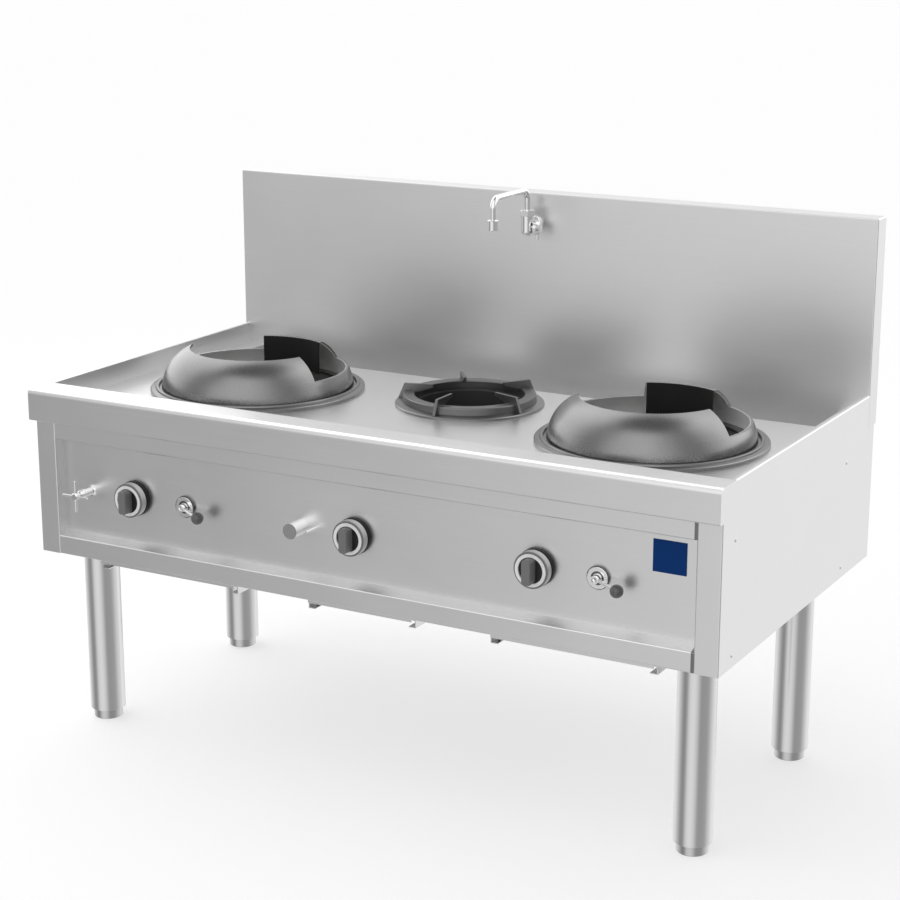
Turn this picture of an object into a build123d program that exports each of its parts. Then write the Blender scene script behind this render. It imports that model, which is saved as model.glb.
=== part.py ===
from build123d import *
import os

# Gas wok range in folded stainless sheet: two wok rings with flame collars and a centre
# trivet stand in a recessed deck, with a rear gutter, a splashback with a swing faucet,
# a recessed control panel, drip trays below and four tubular legs on screw feet.
# Millimetres. X is left to right, Y is front to back, Z is up from the floor.
# Places along Y are counted from the front skirt; the finished parts are shifted so
# that Y = 0 is half way between the tap's handle, which stands foremost, and the
# splashback's back.

# ---------------------------------------------------------------- overall
range_width = 1750.0
range_depth = 955.0
rim_height = 848.0
splash_top = 1260.0
cabinet_bottom = 445.0

# ---------------------------------------------------------------- sheet metal
top_sheet = 2.0
body_sheet = 1.5
bend = 3.0
touch_gap = 0.3  # between pieces that move past each other
running_gap = 0.08  # radial, shaft in hole
pass_gap = 1.0  # radial, pipe or shaft through a sheet

# ---------------------------------------------------------------- top
skirt_height = 76.0
rail_depth = 80.0
nose_radius = 12.0
deck_drop = 50.0
upstand_width = 11.0
splash_depth = 56.0
gutter_width = 150.0
gutter_depth = 62.0
gutter_end_margin = 64.0
gutter_edge_radius = 1.8
strainer_radius = 30.0
strainer_height = 10.0
strainer_hole = 2.5

# ---------------------------------------------------------------- cabinet
cabinet_setback = 22.0
side_inset = 2.6
rear_inset = 4.0
post_width = 55.0
panel_recess = 30.0
top_rail_bottom = 728.0
bottom_rail_face = 45.0
ledge_rise = 10.0
rail_flange = 38.0
side_flange = 25.0
back_panel_inset = 30.0
back_panel_flange = 15.0
panel_lap = 22.0  # control panel beyond its window

# ---------------------------------------------------------------- legs and bottom frame
leg_side_inset = 92.0
leg_front_y = 133.0
leg_back_inset = 240.0
leg_radius = 42.5
leg_wall = 2.0
leg_plug = 14.0
foot_radius = 35.0
foot_height = 25.0
foot_edge = 3.0
foot_stem_radius = 8.0
foot_stem_length = 50.0
beam_width = 100.0
beam_height = 40.0
crossbar_width = 40.0
crossbar_height = 25.0
crossbar_front_y = 78.0
crossbar_back_inset = 67.0  # from the back panel

# ---------------------------------------------------------------- wok rings
wok_x = 527.0
wok_y = 446.5
collar_radius = 234.7  # outside, at its foot
dome_arc_radius = 112.0  # outside of the collar in section, about a point at deck level
collar_wall = 6.0
collar_mouth_radius = 164.0
collar_seat = 8.0  # foot of the collar above the deck
window_height = 52.0  # sill of the side windows above the deck
front_arc_half = 72.0  # degrees either side of the front
horn_half = 29.0  # degrees either side of the back
horn_trim = 6.0  # flat top of the horn, below the dome's height at the guard
horn_end_angle = 1.5  # thickness of the end plates, degrees
horn_end_drop = 4.0
guard_setback = 3.4  # inside of the flame guard, out from the collar's mouth
guard_wall = 4.0
guard_skirt = 14.0  # lower edge of the flame guard above the deck
ring_groove = 6.8  # between the collar's foot and the ring's bead
ring_bead_width = 7.5
ring_bead_height = 14.5
ring_border = 13.0  # outside the bead
ring_rim = 8.5
ring_slope = 2.0
ring_ledge = 28.7  # from the collar's foot in to the ring's mouth

# ---------------------------------------------------------------- wells and burners
well_wall = 2.0
well_setback = 6.0  # inside of the well, out from the ring's mouth
ring_cover = 21.7  # ring beyond the well's flange
well_depth = 150.0
well_cone = 35.0
well_throat = 85.0
hole_gap = 2.0
burner_radius = 70.0
burner_body = 52.0
burner_stem_radius = 24.0
burner_stem = 42.0

centre_x = 3.5
centre_y = 560.0
centre_ring_border = 18.0  # ring outside the trivet
centre_ring_rim = 6.0
centre_ring_height = 9.0
centre_mouth_radius = 131.0
centre_well_setback = 3.0  # inside of the well, in from the ring's mouth
centre_well_flange = 14.0
centre_well_depth = 92.0
centre_well_cone = 20.0
centre_well_throat = 52.0
trivet_bead_width = 29.0
trivet_bead_height = 17.0
trivet_bead_edge = 3.0
fin_count = 5
fin_angle = 126.0
fin_height = 43.0
fin_thickness = 7.0
fin_overhang = 42.0  # inside the ring's mouth
fin_foot_inset = 4.0  # from the ring's edge
fin_slant = 15.0
fin_tip = 8.0
centre_burner_radius = 46.0
centre_burner_body = 30.0

# ---------------------------------------------------------------- controls
control_z = 605.5
knob_places = {"left": -608.5, "centre": -5.0, "right": 445.5}
knob_radius = 41.0
knob_proud = 33.0
knob_ring_outer = 36.0
knob_ring_inner = 28.5
knob_dish = 5.0
knob_grip_width = 21.0
knob_grip_length = 55.0
knob_grip_proud = 22.0
knob_grip_corner = 6.0
knob_grip_edge = 2.5
bezel_radius = 42.0
bezel_depth = 13.0
shaft_radius = 5.0

lever_places = {"left": -464.0, "right": 589.0}
lever_disc_radius = 26.0
lever_disc_depth = 8.0
lever_hub_radius = 9.0
lever_hub_proud = 24.0
lever_rod_radius = 4.0
lever_reach = 58.0
lever_drop = 10.5
ball_radius = 14.5
ball_proud = 37.0
ball_socket = 8.0
spindle_radius = 6.0

tap_x = -738.0
tap_flange_radius = 14.0
tap_bonnet_radius = 9.5
tap_nut_radius = 12.0
tap_proud = 68.0
tap_hub_radius = 9.0
tap_hub_depth = 14.0
tap_arm_radius = 3.2
tap_arm_reach = 38.0
tap_stem_radius = 4.0

igniter_x = -147.0
button_radius = 18.0
button_proud = 48.0
button_inside = 12.0
button_travel = 8.0
igniter_radius = 24.0
igniter_depth = 60.0
pilot_x = -111.5
pilot_radius = 3.5
pilot_proud = 35.0

valve_width = 32.0
valve_height = 36.0
valve_depth = 46.0
valve_neck_radius = 13.0
valve_neck = 8.0
shaft_engagement = 16.0

# ---------------------------------------------------------------- pipes
manifold_y = 98.0
manifold_z = 555.0
manifold_radius = 13.5
manifold_left = -640.0
gas_inlet_x = 640.0
burner_pipe_radius = 8.0
burner_pipe_z = 570.0
pilot_pipe_radius = 4.0
pipe_drop_y = 170.0
pipe_bend = 16.0
water_pipe_radius = 8.0
water_supply_z = 525.0
water_return_z = 556.0
water_riser_inset = 13.0  # behind the splashback's face
drain_x = 700.0
drain_radius = 20.0
drain_wall = 1.5
drain_outlet_z = 640.0
drain_bend = 32.0
pipe_end_inset = 2.0
gas_thread_radius = 13.2
water_thread_radius = 10.4
inlet_thread = 18.0
inlet_hex = 7.0
inlet_hex_rim = 4.0

# ---------------------------------------------------------------- faucet
faucet_wall_gap = 42.0  # riser axis in front of the splashback
faucet_z = 1184.0
faucet_radius = 15.0
faucet_below = 24.0
faucet_above = 24.0
faucet_inlet_radius = 9.0
escutcheon_radius = 20.0
escutcheon_depth = 7.0
faucet_nut_radius = 18.5
faucet_nut_height = 14.0
spout_radius = 7.5
spout_height = 1272.0
spout_reach = 178.0
spout_bend = 24.0
spout_engagement = 26.0
nozzle_bottom = 1196.0
aerator_radius = 13.5
aerator_height = 25.0
aerator_bore = 9.0
faucet_knob_radius = 17.0
faucet_knob_width = 18.0
faucet_stub = 4.0
faucet_pin_radius = 4.0
faucet_pin_length = 12.0

# ---------------------------------------------------------------- drip trays
tray_places = {"left": (-wok_x, 194.5), "centre": (centre_x, 138.0), "right": (wok_x, 194.5)}
runner_bottom = 411.5
runner_front = 61.0
runner_flange = 16.0
runner_sheet = 2.0
tray_front = 96.0
tray_back_inset = 45.0  # from the back panel
tray_height = 26.0
tray_side_gap = 3.0
tray_lip_front = 50.0
tray_lip_height = 12.0

# ---------------------------------------------------------------- worked out
half_width = range_width / 2
skirt_bottom = rim_height - skirt_height
deck_z = rim_height - deck_drop
deck_under = deck_z - top_sheet
splash_front = range_depth - splash_depth
gutter_front = splash_front - gutter_width
gutter_half = half_width - upstand_width - gutter_end_margin
gutter_floor = deck_z - gutter_depth
side_outer = half_width - side_inset
cabinet_back = range_depth - rear_inset
window_half = side_outer - post_width
ledge_bottom = cabinet_bottom + bottom_rail_face
ledge_top = ledge_bottom + ledge_rise
panel_face = cabinet_setback + panel_recess
panel_back = panel_face + body_sheet
back_panel_y = cabinet_back - back_panel_inset + rear_inset
frame_z = cabinet_bottom + body_sheet
wok_places = {"left": (-wok_x, wok_y), "right": (wok_x, wok_y)}
dome_arc_centre = collar_radius - (dome_arc_radius**2 - collar_seat**2) ** 0.5
guard_radius = collar_mouth_radius + guard_setback
horn_edge = guard_radius + guard_wall
horn_height = (dome_arc_radius**2 - (horn_edge - dome_arc_centre) ** 2) ** 0.5 - horn_trim
ring_mouth_radius = collar_radius - ring_ledge
ring_bead_inner = collar_radius + ring_groove
ring_radius = ring_bead_inner + ring_bead_width + ring_border
well_radius = ring_mouth_radius + well_setback + well_wall
well_flange = ring_radius - ring_cover - touch_gap - well_radius
wok_hole_radius = well_radius + hole_gap
trivet_radius = centre_mouth_radius + trivet_bead_width
centre_ring_radius = trivet_radius + centre_ring_border
centre_well_radius = centre_mouth_radius - centre_well_setback - well_wall
centre_hole_radius = centre_well_radius + hole_gap
fin_reach = centre_mouth_radius - fin_overhang
fin_foot = centre_ring_radius - fin_foot_inset
fin_shoulder = fin_foot - fin_slant
well_floor = deck_z - well_depth
well_bottom = well_floor - well_cone
burner_top = well_bottom + burner_body
valve_middle = panel_back + valve_neck + valve_depth / 2
drain_y = (gutter_front + splash_front) / 2
faucet_y = splash_front - faucet_wall_gap
water_riser_y = splash_front + water_riser_inset
crossbar_back_y = back_panel_y - crossbar_back_inset
tray_back = back_panel_y - tray_back_inset
middle_depth = (range_depth + panel_face - tap_proud) / 2
leg_x = half_width - leg_side_inset
leg_back_y = range_depth - leg_back_inset
leg_places = {
    "front_left": (-leg_x, leg_front_y),
    "front_right": (leg_x, leg_front_y),
    "back_left": (-leg_x, leg_back_y),
    "back_right": (leg_x, leg_back_y),
}

parts = {}


# ---------------------------------------------------------------- helpers
def block(x0, x1, y0, y1, z0, z1):
    middle = Pos((x0 + x1) / 2, (y0 + y1) / 2, (z0 + z1) / 2)
    return middle * Box(x1 - x0, y1 - y0, z1 - z0)


def post(x, y, z0, z1, radius):
    return Pos(x, y, (z0 + z1) / 2) * Cylinder(radius, z1 - z0)


def bar(x, z, y0, y1, radius):
    # Round bar along Y.
    return Pos(x, (y0 + y1) / 2, z) * Rot(X=90) * Cylinder(radius, y1 - y0)


def turned(points, x=0.0, y=0.0, arc=360.0, start=0.0):
    # Section of (radius, height) points turned about the vertical at (x, y).
    section = Plane.XZ * make_face(Polyline(*points, close=True))
    return Pos(x, y) * Rot(Z=start) * revolve(section, axis=Axis.Z, revolution_arc=arc)


def turned_y(points, x, z):
    # Section of (depth, radius) points turned about a line along Y at (x, z).
    section = make_face(Polyline(*[(radius, depth) for depth, radius in points], close=True))
    return Pos(x, 0, z) * revolve(section, axis=Axis.Y)


def folded(plane, outline, radii, thickness, width, start):
    # Bent sheet lying inside the outline, from start along the plane's normal.
    path = plane * FilletPolyline(*outline, radius=radii)
    sheets = [make_brake_formed(thickness, width, path, side=side) for side in (Side.LEFT, Side.RIGHT)]
    sheet = min(sheets, key=lambda found: found.bounding_box().diagonal)
    low = sheet.bounding_box().min
    along = Vector(abs(plane.z_dir.X), abs(plane.z_dir.Y), abs(plane.z_dir.Z))
    return Pos(along * (start - low.dot(along))) * sheet


def pipe(points, radius, corner):
    path = FilletPolyline(*points, radius=corner) if len(points) > 2 else Line(*points)
    return sweep(Plane(path @ 0, z_dir=path % 0) * Circle(radius), path=path)


def mirrored(shape):
    return mirror(shape, about=Plane.YZ)


# ---------------------------------------------------------------- top
def front_rail():
    outline = [
        (rail_depth, deck_z),
        (rail_depth, rim_height),
        (0, rim_height),
        (0, skirt_bottom),
        (cabinet_setback, skirt_bottom),
    ]
    radii = (bend, nose_radius, bend)
    rail = folded(Plane.YZ, outline, radii, top_sheet, range_width, -half_width)
    side = FilletPolyline(*outline[:-1], (rail_depth, skirt_bottom), radius=radii)
    edge = Line((rail_depth, skirt_bottom), (rail_depth, deck_z))
    cap = extrude(Plane.YZ * make_face(side + edge), amount=top_sheet)
    return rail + Pos(half_width - top_sheet) * cap + Pos(-half_width) * cap


def side_rail():
    outline = [
        (half_width, skirt_bottom),
        (half_width, rim_height),
        (half_width - upstand_width, rim_height),
        (half_width - upstand_width, deck_z),
    ]
    return folded(Plane.XZ, outline, (bend, bend), top_sheet, splash_front - rail_depth, rail_depth)


def deck_plate():
    edge = half_width - top_sheet
    deck = block(-edge, edge, top_sheet, splash_front, deck_under, deck_z)
    deck -= block(-gutter_half, gutter_half, gutter_front, splash_front, deck_under, deck_z)
    for x, y in wok_places.values():
        deck -= post(x, y, deck_under, deck_z, wok_hole_radius)
    return deck - post(centre_x, centre_y, deck_under, deck_z, centre_hole_radius)


def gutter_trough():
    trough = block(-gutter_half, gutter_half, gutter_front, splash_front, gutter_floor - top_sheet, deck_z)
    inner = gutter_half - top_sheet
    trough -= block(-inner, inner, gutter_front + top_sheet, splash_front, gutter_floor, deck_z)
    rim = trough.edges().filter_by(Axis.X).filter_by_position(Axis.Z, deck_z, deck_z)
    trough = fillet(rim.sort_by(Axis.Y)[-1:], gutter_edge_radius)
    return trough - post(drain_x, drain_y, gutter_floor - top_sheet, gutter_floor, drain_radius - drain_wall)


def gutter_strainer():
    cover = turned(
        [
            (0, strainer_height),
            (strainer_radius - 4, strainer_height),
            (strainer_radius, touch_gap),
            (strainer_radius - 2, touch_gap),
            (strainer_radius - 5, strainer_height - 1.5),
            (0, strainer_height - 1.5),
        ]
    )
    for ring, count in ((8, 6), (17, 12)):
        for turn in range(count):
            cover -= Rot(Z=turn * 360 / count) * post(ring, 0, 0, strainer_height, strainer_hole)
    return Pos(drain_x, drain_y, gutter_floor) * cover


def backsplash():
    shell = block(-half_width, half_width, splash_front, range_depth, skirt_bottom, splash_top)
    rim = shell.edges().filter_by(Axis.Z) + shell.edges().filter_by_position(Axis.Z, splash_top, splash_top)
    shell = fillet(rim, bend)
    inner = half_width - top_sheet
    face_back = splash_front + top_sheet
    shell -= block(-inner, inner, face_back, range_depth - top_sheet, skirt_bottom, splash_top - top_sheet)
    apron = block(-gutter_half, gutter_half, splash_front, face_back, gutter_floor - top_sheet, skirt_bottom)
    hole = bar(0, faucet_z, splash_front, face_back, faucet_inlet_radius + running_gap)
    return shell + apron - hole


# ---------------------------------------------------------------- cabinet
def side_panel():
    outline = [
        (side_outer - side_flange, cabinet_back),
        (side_outer, cabinet_back),
        (side_outer, cabinet_setback),
        (window_half, cabinet_setback),
        (window_half, panel_face),
    ]
    height = deck_under - cabinet_bottom
    panel = folded(Plane.XY, outline[::-1], (bend, bend, bend), body_sheet, height, cabinet_bottom)
    floor_flange = block(
        side_outer - side_flange,
        side_outer - body_sheet,
        cabinet_setback + body_sheet,
        cabinet_back - body_sheet,
        cabinet_bottom,
        frame_z,
    )
    notch = block(side_outer - side_flange, side_outer, splash_front, cabinet_back, skirt_bottom, deck_under)
    return panel + floor_flange - notch


def front_top_rail():
    outline = [
        (cabinet_setback + rail_flange, deck_under),
        (cabinet_setback, deck_under),
        (cabinet_setback, top_rail_bottom),
        (panel_face, top_rail_bottom),
    ]
    return folded(Plane.YZ, outline, (bend, bend), body_sheet, 2 * window_half, -window_half)


def front_bottom_rail():
    outline = [
        (panel_face, ledge_top),
        (cabinet_setback, ledge_bottom),
        (cabinet_setback, cabinet_bottom),
        (cabinet_setback + rail_flange, cabinet_bottom),
    ]
    rail = folded(Plane.YZ, outline, (bend, bend), body_sheet, 2 * window_half, -window_half)
    return rail - block(-window_half, window_half, panel_face, panel_back, ledge_bottom, ledge_top)


def control_panel():
    width = window_half + panel_lap
    low, high = ledge_bottom - panel_lap, top_rail_bottom + panel_lap
    panel = block(-width, width, panel_face, panel_back, low, high)
    openings = [(x, valve_neck_radius) for x in (*knob_places.values(), *lever_places.values(), tap_x)]
    openings += [(igniter_x, button_radius + running_gap), (pilot_x, pilot_radius)]
    for x, radius in openings:
        panel -= bar(x, control_z, panel_face, panel_back, radius)
    return panel


def back_panel():
    inner = side_outer - body_sheet
    outline = [
        (-inner, back_panel_y + back_panel_flange),
        (-inner, back_panel_y),
        (inner, back_panel_y),
        (inner, back_panel_y + back_panel_flange),
    ]
    panel = folded(Plane.XY, outline, (bend, bend), body_sheet, skirt_bottom - frame_z, frame_z)
    inlets = [
        (gas_inlet_x, manifold_z, manifold_radius),
        (tap_x, water_supply_z, water_pipe_radius),
        (drain_x, drain_outlet_z, drain_radius),
    ]
    for x, z, radius in inlets:
        panel -= bar(x, z, back_panel_y, back_panel_y + body_sheet, radius + pass_gap)
    return panel


def bottom_frame():
    beam_outline = [
        (leg_x - beam_width / 2, frame_z + beam_height),
        (leg_x - beam_width / 2, frame_z),
        (leg_x + beam_width / 2, frame_z),
        (leg_x + beam_width / 2, frame_z + beam_height),
    ]
    beam_start = panel_back + touch_gap
    beam_length = back_panel_y - beam_start
    beam = folded(Plane.XZ, beam_outline[::-1], (bend, bend), top_sheet, beam_length, beam_start)
    reach = leg_x - beam_width / 2
    pieces = [beam, mirrored(beam)]
    for y in (crossbar_front_y, crossbar_back_y):
        outline = [
            (y, frame_z + crossbar_height),
            (y, frame_z),
            (y + crossbar_width, frame_z),
            (y + crossbar_width, frame_z + crossbar_height),
        ]
        pieces.append(folded(Plane.YZ, outline, (bend, bend), top_sheet, 2 * reach, -reach))
    return pieces


# ---------------------------------------------------------------- legs, feet and tray runners
def leg(x, y):
    tube = post(x, y, foot_height, frame_z, leg_radius)
    tube -= post(x, y, foot_height + leg_plug, frame_z, leg_radius - leg_wall)
    return tube - post(x, y, foot_height, foot_height + leg_plug, foot_stem_radius + running_gap)


def foot(x, y):
    pad = post(x, y, 0, foot_height, foot_radius)
    pad = fillet(pad.edges().filter_by(GeomType.CIRCLE), foot_edge)
    return pad + post(x, y, foot_height, foot_height + foot_stem_length, foot_stem_radius)


def tray_runner(centre, half, side):
    web = centre + side * half
    runner_back = crossbar_back_y + crossbar_width
    low, high = sorted((web, web + side * runner_sheet))
    runner = block(low, high, runner_front, runner_back, runner_bottom, frame_z)
    low, high = sorted((web, web - side * runner_flange))
    return runner + block(low, high, runner_front, runner_back, runner_bottom, runner_bottom + runner_sheet)


def drip_tray(centre, half):
    bottom = runner_bottom + runner_sheet + touch_gap
    reach = half - tray_side_gap
    tray = block(centre - reach, centre + reach, tray_front, tray_back, bottom, bottom + tray_height)
    inner = reach - body_sheet
    tray -= block(
        centre - inner,
        centre + inner,
        tray_front + body_sheet,
        tray_back - body_sheet,
        bottom + body_sheet,
        bottom + tray_height,
    )
    top = bottom + tray_height
    lip = block(centre - reach, centre + reach, tray_lip_front, tray_front, top - body_sheet, top)
    pull_back = tray_lip_front + body_sheet
    pull = block(centre - reach, centre + reach, tray_lip_front, pull_back, top - tray_lip_height, top)
    return tray + lip + pull


# ---------------------------------------------------------------- wok rings
def dome_radius(height, inset=0.0):
    # Radius of the collar's section at a height above the deck.
    return dome_arc_centre + ((dome_arc_radius - inset) ** 2 - height**2) ** 0.5


def dome_height(radius, inset=0.0):
    return ((dome_arc_radius - inset) ** 2 - (radius - dome_arc_centre) ** 2) ** 0.5


def dome_wall(mouth, arc, start):
    # The domed wall from the collar's seat up to a vertical mouth.
    outer_foot = (dome_radius(collar_seat), collar_seat)
    outer_lip = (mouth, dome_height(mouth))
    inner_lip = (mouth, dome_height(mouth, collar_wall))
    inner_foot = (dome_radius(collar_seat, collar_wall), collar_seat)
    middle = (collar_seat + outer_lip[1]) / 2
    section = make_face(
        ThreePointArc(outer_foot, (dome_radius(middle), middle), outer_lip)
        + Line(outer_lip, inner_lip)
        + ThreePointArc(inner_lip, (dome_radius(middle, collar_wall), middle), inner_foot)
        + Line(inner_foot, outer_foot)
    )
    return Rot(Z=start) * revolve(Plane.XZ * section, axis=Axis.Z, revolution_arc=arc)


def horn_end(start):
    # Radial plate that closes one end of the horn, let half way into the domed wall.
    inset = collar_wall / 2
    low = window_height - horn_end_drop
    middle = (low + horn_height) / 2
    foot_end = (dome_radius(low, inset), low)
    top_end = (dome_radius(horn_height, inset), horn_height)
    section = make_face(
        Polyline(top_end, (horn_edge, horn_height), (horn_edge, low), foot_end)
        + ThreePointArc(foot_end, (dome_radius(middle, inset), middle), top_end)
    )
    return Rot(Z=start) * revolve(Plane.XZ * section, axis=Axis.Z, revolution_arc=horn_end_angle)


def wok_collar(x, y):
    above_sill = post(0, 0, window_height, dome_arc_radius, ring_radius)
    above_horn = post(0, 0, horn_height, dome_arc_radius, ring_radius)
    base = dome_wall(collar_mouth_radius, 360, 0) - above_sill
    front = dome_wall(collar_mouth_radius, 2 * front_arc_half, 270 - front_arc_half)
    horn = dome_wall(horn_edge, 2 * horn_half, 90 - horn_half) - above_horn
    ends = horn_end(90 - horn_half) + horn_end(90 + horn_half - horn_end_angle)
    return Pos(x, y, deck_z) * (base + front + horn + ends)


def flame_guard(x, y):
    section = [
        (guard_radius, guard_skirt),
        (guard_radius + guard_wall, guard_skirt),
        (guard_radius + guard_wall, horn_height),
        (guard_radius, horn_height),
    ]
    return Pos(0, 0, deck_z) * turned(section, x, y, 2 * horn_half, 90 - horn_half)


def wok_base_ring(x, y):
    seat = well_radius + well_flange + touch_gap
    bead_outer = ring_bead_inner + ring_bead_width
    section = [
        (ring_mouth_radius, well_wall),
        (seat, well_wall),
        (seat, 0),
        (ring_radius, 0),
        (ring_radius, ring_rim - ring_slope),
        (ring_radius - ring_slope, ring_rim),
        (bead_outer + 1, ring_rim + ring_slope),
        (bead_outer, ring_bead_height - 1),
        (bead_outer - 1, ring_bead_height),
        (ring_bead_inner + 1, ring_bead_height),
        (ring_bead_inner, ring_bead_height - 1),
        (ring_bead_inner - 1, collar_seat),
        (ring_mouth_radius, collar_seat),
    ]
    return Pos(0, 0, deck_z) * turned(section, x, y)


def burner_well(x, y, radius, flange, depth, cone, throat):
    section = [
        (radius - well_wall, 0),
        (radius - well_wall, well_wall),
        (radius + flange, well_wall),
        (radius + flange, 0),
        (radius, 0),
        (radius, -depth),
        (throat, -depth - cone),
        (throat, -depth - cone + well_wall),
        (radius - well_wall, -depth + well_wall),
    ]
    return Pos(0, 0, deck_z) * turned(section, x, y)


def wok_burner(x, y):
    rim = burner_radius
    body = turned(
        [
            (burner_stem_radius, 0),
            (rim - 12, 12),
            (rim, 24),
            (rim, burner_body - 12),
            (rim - 10, burner_body),
            (rim - 26, burner_body),
            (rim - 32, burner_body - 16),
            (0, burner_body - 16),
            (0, -burner_stem),
            (burner_stem_radius, -burner_stem),
        ],
        x,
        y,
    )
    return Pos(0, 0, well_bottom) * body


# ---------------------------------------------------------------- centre burner
def centre_base_ring():
    seat = centre_well_radius + centre_well_flange + touch_gap
    section = [
        (centre_mouth_radius, well_wall),
        (seat, well_wall),
        (seat, 0),
        (centre_ring_radius, 0),
        (centre_ring_radius, centre_ring_rim - 2),
        (centre_ring_radius - 2, centre_ring_rim),
        (trivet_radius + 1, centre_ring_height),
        (centre_mouth_radius, centre_ring_height),
    ]
    return Pos(0, 0, deck_z) * turned(section, centre_x, centre_y)


def centre_trivet():
    foot_level = centre_ring_height
    crown = foot_level + trivet_bead_height
    inner = centre_mouth_radius
    side = trivet_radius - 1.5
    edge = trivet_bead_edge
    bulge = 0.3 * edge
    outline = make_face(
        Polyline((trivet_radius, foot_level), (inner, foot_level), (inner, crown - edge))
        + ThreePointArc((inner, crown - edge), (inner + bulge, crown - bulge), (inner + edge, crown))
        + Line((inner + edge, crown), (side - edge, crown))
        + ThreePointArc((side - edge, crown), (side - bulge, crown - bulge), (side, crown - edge))
        + Line((side, crown - edge), (trivet_radius, foot_level))
    )
    trivet = revolve(Plane.XZ * outline, axis=Axis.Z)
    fin_outline = [
        (fin_foot, centre_ring_rim + 1),
        (fin_shoulder, fin_height),
        (fin_reach, fin_height),
        (fin_reach, fin_height - fin_tip),
        (inner, crown - 4),
        (inner, foot_level),
        (trivet_radius + 1, foot_level),
    ]
    fin_face = Plane.XZ * make_face(Polyline(*fin_outline, close=True))
    fin = extrude(fin_face, amount=fin_thickness / 2, both=True)
    for turn in range(fin_count):
        trivet += Rot(Z=fin_angle + turn * 360 / fin_count) * fin
    return Pos(centre_x, centre_y, deck_z) * trivet


def centre_burner():
    floor = deck_z - centre_well_depth - centre_well_cone
    rim = centre_burner_radius
    body = turned(
        [
            (burner_stem_radius, 0),
            (rim, 26),
            (rim, 26 + centre_burner_body),
            (rim - 4, 30 + centre_burner_body),
            (rim - 14, 30 + centre_burner_body),
            (rim - 18, 38 + centre_burner_body),
            (0, 38 + centre_burner_body),
            (0, -burner_stem),
            (burner_stem_radius, -burner_stem),
        ],
        centre_x,
        centre_y,
    )
    return Pos(0, 0, floor) * body


# ---------------------------------------------------------------- controls
def knob(x):
    front = panel_face - knob_proud
    back = panel_face - bezel_depth - touch_gap
    end = panel_back + valve_neck + shaft_engagement
    body = turned_y(
        [
            (front + knob_dish, 0),
            (front + knob_dish, knob_ring_inner),
            (front, knob_ring_inner + 0.5),
            (front, knob_ring_outer),
            (front + 1.5, knob_ring_outer + 0.5),
            (front + 2.5, knob_radius - 1),
            (front + 4, knob_radius),
            (back - 1, knob_radius),
            (back, knob_radius - 1),
            (back, shaft_radius),
            (end, shaft_radius),
            (end, 0),
        ],
        x,
        control_z,
    )
    tip = front - knob_grip_proud
    grip = block(
        x - knob_grip_width / 2,
        x + knob_grip_width / 2,
        tip,
        front + knob_dish,
        control_z - knob_grip_length / 2,
        control_z + knob_grip_length / 2,
    )
    grip = fillet(grip.edges().filter_by(Axis.Y), knob_grip_corner)
    grip = fillet(grip.edges().filter_by_position(Axis.Y, tip, tip), knob_grip_edge)
    return body + grip


def knob_bezel(x):
    front = panel_face - bezel_depth
    return turned_y(
        [
            (front, shaft_radius + pass_gap),
            (front, bezel_radius - 2),
            (front + 2, bezel_radius),
            (panel_face, bezel_radius),
            (panel_face, shaft_radius + pass_gap),
        ],
        x,
        control_z,
    )


def valve(x, bore):
    # Valve behind the panel: its neck fills the panel hole and its foot stands on the pipe.
    face = panel_back + valve_neck
    body = block(
        x - valve_width / 2,
        x + valve_width / 2,
        face,
        face + valve_depth,
        control_z - valve_height / 2,
        control_z + valve_height / 2,
    )
    body = fillet(body.edges(), 2)
    neck = bar(x, control_z, panel_face, face, valve_neck_radius)
    bore_end = face + shaft_engagement + touch_gap
    return body + neck - bar(x, control_z, panel_face, bore_end, bore + running_gap)


def gas_valves():
    pieces = [valve(x, shaft_radius) for x in knob_places.values()]
    pieces += [valve(x, spindle_radius) for x in lever_places.values()]
    return pieces


def lever_base(x):
    front = panel_face - lever_disc_depth
    return turned_y(
        [
            (front, spindle_radius + running_gap),
            (front, lever_disc_radius - 3),
            (front + 1, lever_disc_radius - 1),
            (front + 3, lever_disc_radius),
            (panel_face, lever_disc_radius),
            (panel_face, spindle_radius + running_gap),
        ],
        x,
        control_z,
    )


def lever_line(x):
    # From the middle of the hub to the middle of the ball.
    hub = Vector(x, panel_face - lever_hub_proud + lever_hub_radius, control_z)
    ball = Vector(x + lever_reach, panel_face - ball_proud, control_z - lever_drop)
    return hub, ball


def lever_arm(x):
    hub, ball = lever_line(x)
    front = panel_face - lever_hub_proud
    end = panel_back + valve_neck + shaft_engagement
    body = turned_y(
        [
            (front - 5, 0),
            (front - 4, 4),
            (front, 6),
            (front, lever_hub_radius),
            (panel_face - lever_disc_depth - touch_gap, lever_hub_radius),
            (panel_face - lever_disc_depth - touch_gap, spindle_radius),
            (end, spindle_radius),
            (end, 0),
        ],
        x,
        control_z,
    )
    tip = ball - (ball - hub).normalized() * (ball_radius - ball_socket)
    rod = sweep(Plane(hub, z_dir=ball - hub) * Circle(lever_rod_radius), path=Line(hub, tip))
    return body + rod


def lever_ball(x):
    hub, ball = lever_line(x)
    tip = ball - (ball - hub).normalized() * (ball_radius - ball_socket)
    socket = sweep(Plane(hub, z_dir=ball - hub) * Circle(lever_rod_radius), path=Line(hub, tip))
    return Pos(ball) * Sphere(ball_radius) - socket


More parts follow.
